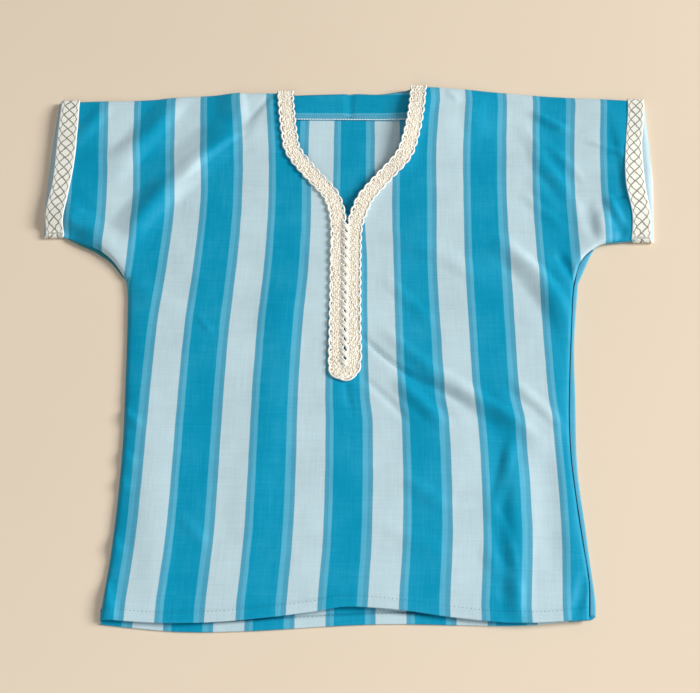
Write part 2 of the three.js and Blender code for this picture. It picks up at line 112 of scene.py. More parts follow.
# Edges of the panels: the hem, shoulder and underarms give y at x, and the others x at y.
FRONT = {
    "hem": line(
        (-145, 0.5), (-100, -1.5), (-60, 0.8), (-20, 6), (0, 9.2), (30, 7.5), (60, 3.5),
        (100, 0.2), (142, 2.5)),
    "side_left": line(
        (0, -144), (50, -141.2), (110, -141), (150, -143), (220, -147.5), (236, -150)),
    "side_right": line(
        (0, 141.2), (25, 143), (50, 141.4), (85, 139.2), (115, 138.5), (150, 140.5),
        (220, 147.7), (236, 150)),
    "underarm_left": line(
        (-210, 270.8), (-195, 270.4), (-189, 267.6), (-180, 263.5), (-170, 259), (-160, 250.5),
        (-150, 236)),
    "underarm_right": line(
        (150, 236), (155, 251), (161, 259.5), (172, 267), (190, 270.3), (208, 271.3)),
    "shoulder": line(
        (-212, 388.8), (-160, 391.6), (-110, 396.6), (-62, 397.7), (-40, 398), (40, 403.6),
        (60, 404.1), (105, 402), (132, 399.4), (183, 395.2), (214, 393.3)),
    "cuff_left": line(
        (268, -207.3), (290, -209.5), (315, -207.8), (360, -209.2), (392, -209.7)),
    "cuff_right": line(
        (270, 205.1), (290, 206.3), (315, 205.2), (350, 206.4), (370, 209.4), (396, 212.7)),
    "neck_left": line(
        (289, -2), (296.5, -5), (308, -10.5), (323.5, -20.5), (336, -31.5), (348, -36.5),
        (366.5, -40), (399, -43)),
    "neck_right": line(
        (289, -2), (300, 4.5), (314, 10.5), (327, 20.5), (339.5, 30), (356.5, 36.5),
        (376.5, 40.5), (404, 43.2)),
}
BACK = {
    "hem": line(
        (-145, -1.5), (-100, -5.5), (-60, -5), (0, -1), (30, 0), (100, -0.3), (148, 4)),
    "side_left": lambda y: FRONT["side_left"](y) + 0.5,
    "side_right": line(
        (0, 144.8), (12, 146.2), (30, 145.4), (60, 144), (100, 142.2), (150, 144.7),
        (190, 147), (236, 153)),
    "underarm_left": line(
        (-214, 271.4), (-194.5, 270.8), (-189, 267), (-180, 262.2), (-170, 257.5), (-160, 249),
        (-149.5, 236)),
    "underarm_right": line(
        (153, 236), (156, 242.5), (159, 249.5), (162, 256), (165, 262), (168.5, 266.4),
        (174, 268.4), (184, 269.6), (191, 270.4), (213, 272)),
    "shoulder": line(
        (-214, 388.6), (-160, 391.4), (-110, 396.4), (-62, 397.4), (-43, 397.4), (-40, 396.9),
        (0, 398.7), (20, 398.3), (40, 401), (44, 403), (60, 403.8), (105, 401.8), (132, 399.2),
        (183, 395), (214, 393.1)),
    "cuff_left": line((268, -209.4), (300, -212), (350, -213), (392, -212.6)),
    "cuff_right": line((270, 207.2), (300, 209.9), (340, 212.5), (396, 213.2)),
}

# Inner edges of the cuff bands and middle of the neck braid: x at y, but y at x for the
# braid around the back neck.
BAND_INNER = {
    "left": line(
        (268, -195), (280, -197), (300, -196.5), (330, -195), (360, -195.7), (392, -197.5)),
    "right": line(
        (270, 192), (290, 193.8), (315, 191.7), (340, 193.5), (380, 199.5), (396, 201)),
}
BRAID_LINE = {
    "left": line(
        (169, -8.35), (270, -8.35), (287, -8.8), (298, -11), (307.5, -15), (325.5, -29),
        (343.5, -41), (356.5, -44), (376.5, -46.5), (398, -48.3)),
    "right": line(
        (169, 2.35), (178, 3), (192, 2.6), (210, 2.4), (270, 2.6), (285, 4.2), (294.5, 7),
        (303.5, 10.5), (322.5, 24), (339.5, 37), (356.5, 42.5), (376.5, 46.3), (404, 49.2)),
    "back": line((-42.3, 391.9), (0, 393.9), (20, 393.6), (43.3, 396.3)),
}

# Creases of the front, as x0, y0, x1, y1, bow, left, right and rise: each runs from the
# first point to the second, bows sideways at its middle, and slopes down over left and
# right on either hand of its run. rise is its height, negative for a trough.
CREASE_STARTS = (-0.2, 0.3)  # shares of a crease's length over which it rises
CREASE_ENDS = (0.7, 1.2)  # and over which it dies away
MAIN_CREASES = (
    (-63, 394, -80, 354, 2, 9, 9, -0.9), (-79, 357, -149, 260, 9, 13, 13, 1.5),
    (-128, 378, -192, 332, -12, 13, 13, 1.1), (-193, 301, -192, 272, 0, 7, 7, 0.9),
    (-150, 240, -112, 212, 4, 10, 10, 0.8), (-150, 148, -122, 147, 0, 8, 8, 0.7),
    (91, 395, 92, 358, 3, 12, 12, 1.1), (133, 380, 152, 364, 0, 7, 7, 0.8),
    (131, 360, 156, 334, 3, 8, 8, 1.0), (128, 344, 152, 314, 3, 8, 8, 1.0),
    (128, 324, 144, 295, 3, 8, 8, 0.8), (164, 301, 168, 269, 2, 7, 7, -1.1),
    (176, 294, 174, 268, 2, 8, 8, 1.2), (128, 253, 154, 236, 3, 9, 9, 1.3),
    (100, 256, 128, 236, 2, 9, 9, -0.9), (14, 184, 62, 136, -4, 9, 9, -0.8),
    (94, 147, 120, 129, 3, 11, 11, 1.6), (82, 137, 114, 118, -3, 9, 9, -1.5),
    (94, 116, 95, 2, 1, 8, 8, -1.0), (103, 114, 103, 4, 1, 10, 10, 1.2),
    (124, 112, 124, 32, 2, 14, 14, -1.4), (38, 88, 62, 76, 2, 9, 9, 0.7),
    (-120, 116, -112, 8, 3, 16, 16, 0.8), (-46, 248, -62, 58, -5, 18, 18, 0.7),
)

# Finer creases, which only the cotton itself shows.
FINE_CREASES = (
    # left shoulder and sleeve
    (-80, 359, -118, 320, 1.5, 4.5, 26, 2.9), (-84, 369, -146, 296, 3, 13, 18, 0.7),
    (-120, 316, -153, 268, 3, 12, 18, 3.7), (-126, 390, -165, 324, 0, 11, 16, 2.6),
    (-200, 276, -156, 249, 3, 6, 6, 1.2), (-176, 385, -196, 350, 0, 8, 9, 1.2),
    (-199, 290, -156, 256, 0, 14, 12, 2.8), (-84, 402, -80, 370, 0, 8, 18, 1.8),
    (-56, 398, -76, 368, 0, 4, 4, -0.6), (-191, 290, -184, 290, 0, 3, 3, 0.6),
    (-191, 278, -184, 278, 0, 3, 3, 0.6), (-180, 270, -226, 274, 0, 10, 10, -3.4),
    # right shoulder and sleeve
    (131, 380, 156, 364, 0, 4, 6, 1.5), (124, 366, 157, 296, 1, 6, 9, 1.1),
    (142, 350, 164, 318, 0, 5, 5, 0.7), (122, 306, 146, 280, 0, 5, 7, 1.0),
    (168, 354, 194, 341, -1, 4, 4, 1.0), (179, 305, 187, 281, 0, 4, 6, 2.2),
    (170, 294, 173, 250, 0, 16, 24, 1.5), (164, 304, 168, 280, 0, 9, 7, 0.3),
    (183, 286, 186, 268, 0, 6, 5, -1.3), (181, 305, 193, 305, 0, 2.6, 2.6, -0.6),
    (180, 266, 226, 270, 0, 10, 10, -3.4), (189, 372, 193, 282, -2, 13, 5, 1.2),
    # right underarm and chest
    (106, 264, 147, 198, -5, 8, 15, 4.4), (141, 258, 149, 240, 0, 6, 5, -2.0),
    (25, 270, 88, 238, -4, 12, 10, 1.5), (26, 236, 54, 204, 0, 5, 8, 1.0),
    (70, 399, 78, 389, 0, 4, 4, 0.6), (56, 402, 34, 330, 4, 14, 12, 1.8),
    # from the foot of the placket to the right side
    (8, 192, 44, 160, 1, 2.4, 2.4, -2.3), (36, 166, 76, 144, 0, 4, 6, -1.5),
    (57, 165, 117, 119, -1, 7, 10, 3.3), (66, 146, 112, 108, 1, 6, 8, -0.5),
    (32, 158, 60, 130, 0, 6, 8, 2.4), (24, 196, 58, 164, 0, 5, 7, 1.3),
    (106, 158, 134, 128, 0, 6, 6, 1.6), (8, 162, 38, 130, -1, 4, 4, -1.1),
    (-2, 161, 2, 138, 1, 3.4, 3.4, -0.7),
    # lower right
    (102, 116, 90, 72, 0, 6, 5, 1.2), (88, 74, 100, 24, -3, 4, 8, 1.0),
    (34, 92, 60, 74, 0, 5, 8, 0.7), (18, 62, 62, 40, 0, 8, 8, 0.7),
    (82, 46, 100, 20, 0, 6, 8, 0.9), (100, 26, 99, 4, 0, 6, 10, 1.6),
    (141, 30, 133, 4, 0, 5, 5, -1.1),
    # along the left side
    (-146, 140, -130, 126, 0, 4, 6, 1.5), (-146, 112, -132, 100, 0, 4, 6, 1.1),
    (-146, 94, -134, 84, 0, 4, 6, 1.1), (-146, 56, -136, 42, 0, 5, 7, 1.5),
    (-146, 28, -137, 2, 0, 5, 8, 1.8), (-100, 208, -90, 194, 0, 2.5, 3, 0.7),
    (-102, 66, -84, 46, 0, 5, 6, 0.7),
)


def over_neck(x, y):
    """1 over the neck's trims, falling to 0 away from them."""
    across = 1 - step(np.abs(x), NECK_FLAT[0], NECK_FLAT[0] + RAMP)
    return across * step(y, NECK_FLAT[1] - RAMP, NECK_FLAT[1])


def back_under(x, y):
    """Underside of the back panel, on the floor or on the trims beneath it."""
    on_band = step(np.abs(x), CUFF_FLAT - RAMP, CUFF_FLAT)
    return (BRAID_SOLID + GAP) * over_neck(x, y) + (BAND_SOLID + GAP) * on_band


def edge_roll(x, y, width):
    """0 at the front's closed edges and 1 from width inward, as a quarter circle."""
    left = x < 0
    side = np.where(left, FRONT["side_left"](y), FRONT["side_right"](y))
    underarm = np.where(left, FRONT["underarm_left"](x), FRONT["underarm_right"](x))
    beside = UNDERARM[0] - np.abs(x)
    above = y - UNDERARM[1]
    lower = np.where(above < 0, np.abs(side - x),
                     np.where(beside < 0, y - underarm, np.hypot(beside, above)))
    inward = np.clip(np.minimum(FRONT["shoulder"](x) - y, lower) / width, 0, 1)
    return np.sqrt(1 - (1 - inward) ** 2)


def crease_height(creases, x, y):
    """Height that a table of creases adds: full along a crease, nothing at its ends."""
    total = np.zeros_like(x)
    for x0, y0, x1, y1, bow, left, right, rise in creases:
        length = math.hypot(x1 - x0, y1 - y0)
        run_x, run_y = (x1 - x0) / length, (y1 - y0) / length
        t = ((x - x0) * run_x + (y - y0) * run_y) / length
        sideways = (x - x0) * run_y - (y - y0) * run_x - bow * 4 * t * (1 - t)
        across = np.maximum(0, 1 - (sideways / np.where(sideways < 0, left, right)) ** 2)
        ends = step(t, *CREASE_STARTS) * (1 - step(t, *CREASE_ENDS))
        total += rise * across ** 2 * ends
    return total


def front_top(x, y):
    """Upper face of the front panel's solid."""
    neck = over_neck(x, y)
    rest = back_under(x, y) + CLOTH + GAP + (FACING_SOLID + GAP) * neck
    rest = rest + HEM_STEP * (1 - step(y, 12, 40))  # over the back's hem
    loose = LOFT * (0.45 + 0.55 * step(y, 0, 60)) + crease_height(MAIN_CREASES, x, y)
    lift = np.maximum(0, edge_roll(x, y, EDGE_ROLL) * loose)
    own_hem = 1 - step(y - FRONT["hem"](x), HEM_TURN, HEM_TURN + 1.5)
    return rest + lift + CLOTH + HEM_STEP * own_hem


def cloth_top(x, y):
    """Upper face of the front's cotton with its finer creases, before it wanders."""
    return np.maximum(front_top(x, y) + crease_height(FINE_CREASES, x, y),
                      back_under(x, y) + LEAST_SPACE)


def unevenness(x, y, reach, seed):
    """Soft hills and hollows from -1 to 1, of a given reach."""
    return np.array([noise.noise((a / reach, b / reach, seed)) for a, b in zip(x, y)])


def placed(x, y, z):
    """Points of the drafting frame, in metres in the shared frame."""
    return np.stack([x - ORIGIN[0], y - ORIGIN[1], z], axis=-1) / 1000


# ---- Lay of the stripes ----

REPEAT = 47.3  # width of the stripe pattern
BACK_SHIFT = 30.0  # how far the back's pattern is shifted from the centre


def lines_at(heights, *rows):
    """Lines that share their heights, one for each row of places."""
    return [line(*zip(heights, places)) for places in rows]


# Left edge of each pale stripe across the front, as x at each height.
PALE_EDGES = (
    *lines_at((10, 100, 200, 250, 300, 350, 390),
              (-174, -174, -171, -168, -169, -172.9, -176.3)),
    *lines_at((10, 60, 150, 200, 250, 300, 350, 390),
              (-129.5, -126.7, -126.5, -126, -123, -121.7, -125.6, -127.5),
              (-82.5, -80, -79.5, -78.5, -76, -75, -76.8, -80.7),
              (-35, -32.3, -32, -30.5, -27.5, -27, -29, -31)),
    *lines_at((10, 60, 130, 150, 200, 250, 300, 350, 390),
              (12.5, 15.3, 15.5, 13.5, 12.2, 11.8, 10, 12.5, 15),
              (60.8, 64, 63.8, 61.9, 60.2, 59, 60.2, 61.1, 64.5),
              (108.5, 112, 111.5, 109.3, 109, 108.9, 108.8, 111, 113.4)),
    *lines_at((10, 60, 150, 300, 350, 390), (156, 158, 157, 156.5, 159.3, 163.1)),
)


def front_lay(x, y):
    """Place across the cloth, in millimetres, of a point of the front."""
    edges = [edge(y) for edge in PALE_EDGES]
    lay = x - edges[0]
    for i, (near, far) in enumerate(zip(edges, edges[1:])):
        lay = np.where(x > near, REPEAT * (i + (x - near) / (far - near)), lay)
    return np.where(x > edges[-1], REPEAT * (len(edges) - 1) + x - edges[-1], lay)


def back_lay(x, y):
    """Place across the cloth of a point of the back, whose stripes lie straight."""
    return x + BACK_SHIFT


# ---- Mesh making ----

def unit(rows):
    """Rows of vectors, each scaled to a length of 1."""
    return rows / np.linalg.norm(rows, axis=1, keepdims=True)


def add_cells(bm, across, up):
    """Adds a flat grid, and gives its vertices with the column and row of each."""
    made = bmesh.ops.create_grid(bm, x_segments=across, y_segments=up, size=1)["verts"]
    at = np.array([vert.co[:2] for vert in made]) * 0.5 + 0.5
    return made, *np.rint(at * (across, up)).astype(int).T


def settle(bm, verts, points, lay):
    """Puts vertices at points of the drafting frame, and at places in the cloth."""
    cloth = bm.verts.layers.float_vector.get("cloth")
    for vert, point, (u, v) in zip(verts, placed(*points).tolist(), lay.tolist()):
        vert.co = point
        vert[cloth] = (u / 1000, v / 1000, 0)


def add_grid(bm, across, up, place):
    """Adds a grid. place takes numbers of columns and rows, and gives points in the
    drafting frame and places in the cloth."""
    made, cols, rows = add_cells(bm, across, up)
    points, lay = place(cols, rows)
    settle(bm, made, points, np.stack(lay, -1))


def new_bmesh():
    bm = bmesh.new()
    bm.verts.layers.float_vector.new("cloth")
    return bm


def to_mesh(bm, name):
    mesh = bpy.data.meshes.new(name)
    bm.to_mesh(mesh)
    bm.free()
    return mesh


def make_piece(bm, name, material, node=None, merge=2e-6, thickness=None,
               outward=False):
    """Turns a bmesh into a piece that rides on the garment's root body."""
    bmesh.ops.remove_doubles(bm, verts=bm.verts, dist=merge)
    if outward:
        bmesh.ops.recalc_face_normals(bm, faces=bm.faces)
    mesh = to_mesh(bm, name)
    lay = np.empty(len(mesh.vertices) * 3)
    mesh.attributes["cloth"].data.foreach_get("vector", lay)
    corner = np.empty(len(mesh.loops), int)
    mesh.loops.foreach_get("vertex_index", corner)
    uv = mesh.uv_layers.new(name="lay")
    uv.data.foreach_set("uv", lay.reshape(-1, 3)[corner, :2].ravel())
    mesh.attributes.remove(mesh.attributes["cloth"])
    mesh.shade_smooth()
    mesh.materials.append(material)
    piece = bpy.data.objects.new(name, mesh)
    scene.collection.objects.link(piece)
    if thickness:
        wall = piece.modifiers.new("cloth thickness", "SOLIDIFY")
        wall.thickness = thickness / 1000
        wall.offset = 0
    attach(piece, "root")
    if node:
        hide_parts(node)
    return piece


# ---- The two panels ----

FINE_ROWS = np.array([0, 0.12, 0.45, 0.95, 1.6, 2.4, 3.4, 5])  # close to a rolled edge


def spread(start, end, cell):
    """Even places from start to end, without the first."""
    count = max(1, math.ceil(abs(end - start) / cell))
    return np.linspace(start, end, count + 1)[1:]


def row_heights(cell):
    """Nominal heights of a panel's rows, from the hem's fold to the shoulder."""
    hem = np.array([HEM_FOLD, 2, 4.2, HEM_TURN - 0.4, HEM_TURN + 0.3, HEM_TURN + 0.9,
                    HEM_TURN + 1.6])
    armpit = UNDERARM[1] + FINE_ROWS
    top = SHOULDER - FINE_ROWS[::-1]
    return np.concatenate([hem, spread(hem[-1], armpit[0], cell), armpit[1:],
                           spread(armpit[-1], V_POINT[1], cell),
                           spread(V_POINT[1], top[0], cell), top[1:]])


def row_at(panel, x, nominal):
    """Height at x of a row: low rows follow the hem, and high ones the shoulders."""
    near_hem = 1 - step(nominal, 20, 110)
    near_shoulder = np.clip((nominal - 250) / 130, 0, 1)
    return (nominal + panel["hem"](x) * near_hem
            + (panel["shoulder"](x) - SHOULDER) * near_shoulder)


# How far each row of the turned hem lies past the fold's start, the farthest first.
TURN_ROWS = np.concatenate([np.array([HEM_TURN, 4, 2]) + HEM_ARC,
                            HEM_ARC * np.linspace(1, 0.15, 6)])


def turned(panel, face, surface, lay, x, y, past):
    """Points of a panel and of its hem, which turns up over it where face is 1 and under
    it where face is -1."""
    angle = np.clip(past, 0, HEM_ARC) / HEM_FOLD
    beyond = np.maximum(past - HEM_ARC, 0)
    y = np.where(past > 0, y - HEM_FOLD * np.sin(angle) + beyond, y)
    z = surface(x, y) + face * HEM_FOLD * (1 - np.cos(angle))
    return (x, y, z), (lay(x, y), np.where(past > 0, panel["hem"](x) - past, y))


def add_panel(bm, panel, face, cell, surface, lay, necks, inset=0.0):
    """Adds a panel: two halves of its body, and two sleeves that share their rows."""
    nominal = row_heights(cell)
    past = np.concatenate([TURN_ROWS, np.zeros(len(nominal))])
    nominal = np.concatenate([np.full(len(TURN_ROWS), HEM_FOLD), nominal])
    armpit = int(np.searchsorted(nominal, UNDERARM[1]))
    even = math.ceil((UNDERARM[0] - FINE_ROWS[-1]) / cell)
    body_cells = len(FINE_ROWS) - 1 + even
    sleeve_cells = math.ceil((SLEEVE_REACH - UNDERARM[0]) / cell)
    for sign, side in ((-1, "left"), (1, "right")):
        trim = inset if sign > 0 else 0.0

        def side_at(height):
            return panel["side_" + side](np.minimum(height, UNDERARM[1])) - sign * trim

        def body(cols, rows):
            cols = cols if sign < 0 else body_cells - cols
            height = nominal[rows]
            outer = side_at(height)
            inner = np.full(len(rows), V_POINT[0])
            if necks:
                neck = panel["neck_" + side]
                slit = neck(row_at(panel, neck(height), height))
                inner = np.where(height > V_POINT[1], slit, inner)
            fine = FINE_ROWS[np.minimum(cols, len(FINE_ROWS) - 1)]
            share = np.maximum(cols - len(FINE_ROWS) + 1, 0) / even
            x = outer - sign * fine
            x = x + (inner - x) * share
            return turned(panel, face, surface, lay, x, row_at(panel, x, height), past[rows])

        add_grid(bm, body_cells, len(nominal) - 1, body)

        start = side_at(UNDERARM[1])
        full = panel["shoulder"](start) - UNDERARM[1]
        margin = 18.0  # the rows keep their spacing this close to the edges

        def sleeve(cols, rows):
            cols = cols if sign > 0 else sleeve_cells - cols
            rise = row_at(panel, start, nominal[rows + armpit]) - UNDERARM[1]

            def height(x):
                low = panel["underarm_" + side](x) + trim * (x != start)
                high = panel["shoulder"](x)
                share = (rise - margin) / (full - 2 * margin)
                middle = low + margin + (high - low - 2 * margin) * share
                return np.where(rise <= margin, low + rise,
                                np.where(full - rise <= margin, high - full + rise, middle))

            cuff = panel["cuff_" + side]
            end = cuff(height(cuff(np.full(len(rows), CUFF_MIDDLE))))
            x = start + (end - start) * cols / sleeve_cells
            y = np.where(cols == 0, UNDERARM[1] + rise, height(x))
            return (x, y, surface(x, y)), (lay(x, y), y)

        add_grid(bm, sleeve_cells, len(nominal) - 1 - armpit, sleeve)


def front_cloth(x, y):
    """Middle of the front's cotton: it lies loose, and turns down at closed edges."""
    top = cloth_top(x, y) - 0.26
    top = top + 0.35 * unevenness(x, y, 34.0, 1.7) + 0.15 * unevenness(x, y, 13.0, 5.2)
    on_fold = (x > 120) & (y < 272)  # beside the back's open side
    edge = back_under(x, y) + np.where(on_fold, 2.18, 0.5)
    return edge + (top - edge) * edge_roll(x, y, np.where(on_fold, FOLD_ROUND, ROUND))


def back_cloth(x, y):
    """Middle of the back's cotton, which lies on the floor and on the trims."""
    return back_under(x, y) + BACK_LIFT + 0.22 * (1 + unevenness(x, y, 26.0, 9.4))


def add_side_fold(bm):
    """Adds the strip in which the back's open side wraps up over itself."""
    low = np.arange(4.6, UNDERARM[1], 2.4)
    far = np.arange(153.4, 193, 1.6)
    x = np.concatenate([BACK["side_right"](low), far])
    y = np.concatenate([low, BACK["underarm_right"](far)])
    run_x, run_y = np.gradient(x), np.gradient(y)
    length = np.hypot(run_x, run_y)
    out_x, out_y = run_y / length, -run_x / length
    reach, rise = np.array(FOLD_PROFILE).T

    def place(cols, rows):
        at_x = x[rows] + out_x[rows] * reach[cols]
        at_y = y[rows] + out_y[rows] * reach[cols]
        base = back_under(at_x, at_y) + BACK_LIFT
        return (at_x, at_y, base + rise[cols]), (21.5 - 0.25 * cols, at_y)

    add_grid(bm, len(reach) - 1, len(x) - 1, place)


# ---- Tapes ----

TAPE_GAP = 0.08  # space between a tape and the cotton
MOST_TILT = 0.25  # steepest slope that a tape takes from the cotton
TURN_REACH = 1.2  # how far a tape stands out where it turns around an edge
TURN_STEPS = 14  # places along a turn, with its two ends
BRAID_HALF = (5.15, 5.75)  # half the braid's width at the placket and at the neck
BRAID_UNDER = BRAID_SOLID + 0.26  # height of the braid's cloth side around the back neck
FLAT_HALF = 5.45  # half the width at which the braid's stitches are laid out
PLACKET_FOOT = 169.0  # where the braid's sides start to turn around the foot
BAND_HALF = 6.45  # half the cuff tape's width
DOWN = np.array([0, 0, -1.0])
BAND_START = {"left": 1.4, "right": 0.3}  # from the underarm's edge to each band's turn


class Tape:
    """A closed run of tape. Its columns hold, for each place along it, a point on its
    cloth side, the directions outward and away from the cloth, and half its width."""

    def __init__(self, *columns):
        self.columns = [np.array([*rows, rows[0]], float) for rows in columns]
        gaps = np.linalg.norm(np.diff(self.columns[0], axis=0), axis=1)
        self.along = np.concatenate([[0], np.cumsum(gaps)])
        self.length = self.along[-1]

    def at(self, along, across, height):
        """Points along, across and above the tape. across is 1 at its outer edge and -1
        at its inner one."""
        along = np.mod(along, self.length)
        points, outward, away, half = self.columns

        def read(rows):
            return np.stack([np.interp(along, self.along, col) for col in rows.T], -1)

        outward, away = unit(read(outward)), unit(read(away))
        reach = (np.interp(along, self.along, half) * across)[:, None]
        return (read(points) + outward * reach + away * height[:, None]).T


def on_front(x, y, out_x, out_y):
    """Point, outward and away, for a tape that lies on the front."""
    reach = np.array([-4, 0, 4])
    near, middle, far = cloth_top(x + reach * out_x, y + reach * out_y)
    tilt = np.clip((far - near) / 8, -MOST_TILT, MOST_TILT)
    outward = np.array([out_x, out_y, tilt])
    away = np.array([-tilt * out_x, -tilt * out_y, 1])
    return np.array([x, y, middle + TAPE_GAP]), outward, away


def around_edge(front, back, side):
    """Rows that carry a tape from the front, around an edge, to the floor. side is 1 for
    an edge that faces up the garment and -1 for one that faces down."""
    rows = []
    for angle in np.linspace(0, np.pi, TURN_STEPS)[1:-1]:
        share = (1 - math.cos(angle)) / 2
        point = front[0] * (1 - share) + back[0] * share
        point[1] += side * TURN_REACH * math.sin(angle)
        outward = front[1] * (1 - share) + back[1] * share
        rows.append((point, outward, np.array([0, side * math.sin(angle), math.cos(angle)])))
    return rows


def braid_tape():
    """The neck braid: up the front's left, around the back neck, down the front's right
    and around the foot of the placket."""
    narrow, wide = BRAID_HALF

    def side_run(name, sign):
        middle = BRAID_LINE[name]
        top = FRONT["shoulder"](middle(SHOULDER)) - 1.6
        rows, half = [], []
        for y in np.arange(PLACKET_FOOT, top, 1.2):
            lean = (middle(y + 1) - middle(y - 1)) / 2 * (y < top - 16)
            length = math.hypot(1, lean)
            rows.append(on_front(middle(y), y, sign / length, -sign * lean / length))
            half.append(narrow + (wide - narrow) * step(y, 275, 290))
        return rows, half

    def turn(x, y, radius, start, end, on_floor):
        rows = []
        for angle in np.radians(np.linspace(start, end, TURN_STEPS)[1:-1]):
            out = np.array([math.cos(angle), math.sin(angle), 0])
            at = (x + out[0] * radius, y + out[1] * radius)
            if on_floor:
                rows.append((np.array([*at, BRAID_UNDER]), out, DOWN))
            else:
                rows.append(on_front(*at, *out[:2]))
        return rows

    left, left_half = side_run("left", -1)
    right, right_half = side_run("right", 1)
    back = turn(-42.3, 397.8, 5.9, 186, 270, True)
    for x in np.arange(-41, 43, 3.0):
        point = np.array([x, BRAID_LINE["back"](x), BRAID_UNDER])
        back.append((point, np.array([0, -1.0, 0]), DOWN))
    back += turn(43.3, 402.2, 5.9, 270, 354, True)
    over_left = around_edge(left[-1], back[0], 1)
    over_right = around_edge(right[-1], back[-1], 1)[::-1]
    foot = turn(-3, PLACKET_FOOT, 5.35, 0, -180, False)
    rows = left + over_left + back + over_right + right[::-1] + foot
    around_neck = [wide] * (len(over_left) + len(back) + len(over_right))
    half = left_half + around_neck + right_half[::-1] + [narrow] * len(foot)
    return Tape(*zip(*rows), half)


def band_tape(sign, side):
    """The woven band around one sleeve's edge, up the front and down the back."""
    inner, cuff, floor_cuff = BAND_INNER[side], FRONT["cuff_" + side], BACK["cuff_" + side]
    low = FRONT["underarm_" + side](sign * CUFF_AT) + BAND_START[side]
    high = FRONT["shoulder"](sign * CUFF_AT) - 0.8
    front, back = [], []
    for y in np.linspace(low, high, 60):
        middle = (inner(y) + cuff(y) + 0.4 * sign) / 2
        front.append(on_front(middle, y, sign, 0.0))
        point = np.array([floor_cuff(y) + sign * (0.4 - BAND_HALF), y, BAND_SOLID])
        back.append((point, np.array([sign, 0.0, 0]), DOWN))
    rows = (front + around_edge(front[-1], back[-1], 1) + back[::-1]
            + around_edge(front[0], back[0], -1)[::-1])
    half = [abs(cuff(point[1]) - inner(point[1])) / 2 + 0.2 for point, _, _ in rows]
    return Tape(*zip(*rows), half)


def add_tape(bm, tape, across, height, cell):
    """Adds a closed band of tape. across and height outline its cross-section, in shares
    of its half width and in millimetres."""
    count = math.ceil(tape.length / cell)
    across = np.append(across, across[0])
    height = np.append(height, height[0])

    def place(cols, rows):
        along = rows / count * tape.length
        points = tape.at(along, across[cols], height[cols])
        return points, (along, across[cols] * BAND_HALF)

    add_grid(bm, len(across) - 1, count, place)


def lay_on_tape(bm, tape):
    """Bends what was made flat, with x along the tape, y across and z above it."""
    flat = np.array([vert.co for vert in bm.verts])
    points = tape.at(flat[:, 0], flat[:, 1] / FLAT_HALF, flat[:, 2])
    settle(bm, bm.verts, points, flat[:, :2])


bead_shape = bmesh.new()
bmesh.ops.create_uvsphere(bead_shape, u_segments=6, v_segments=5, radius=1)
BEAD = to_mesh(bead_shape, "bead")
STRAND_SIDES = 6


def add_bead(bm, place, size, turn):
    """Adds one small rounded stitch: size is its length, width and height."""
    shape = Matrix.Translation(place) @ Matrix.Rotation(turn, 4, "Z")
    shape = shape @ Matrix.Diagonal((*[s / 2 for s in size], 1))
    bead = BEAD.copy()
    bead.transform(shape)
    bm.from_mesh(bead)
    bpy.data.meshes.remove(bead)


def add_strand(bm, along, across, height, radius):
    """Adds a cord through a row of places, as a grid rolled around them."""
    path = np.stack([along, across, height], -1)
    run = unit(np.gradient(path, axis=0))
    beside = unit(np.cross(run, [0, 0, 1.0]))
    above = np.cross(beside, run)
    strand = bmesh.new()
    made, i, around = add_cells(strand, len(along) - 1, STRAND_SIDES)
    angle = around * 2 * np.pi / STRAND_SIDES
    ring = beside[i] * np.cos(angle)[:, None] + above[i] * np.sin(angle)[:, None]
    for vert, point in zip(made, (path[i] + ring * radius[i][:, None]).tolist()):
        vert.co = point
    mesh = to_mesh(strand, "strand")
    bm.from_mesh(mesh)
    bpy.data.meshes.remove(mesh)


# ---- Finishes ----

def tone(red, green, blue):
    """A colour written as 0 to 255 for a screen, as Blender's linear values."""
    def linear(value):
        value /= 255
        return value / 12.92 if value <= 0.04045 else ((value + 0.055) / 1.055) ** 2.4
    return (linear(red), linear(green), linear(blue), 1)


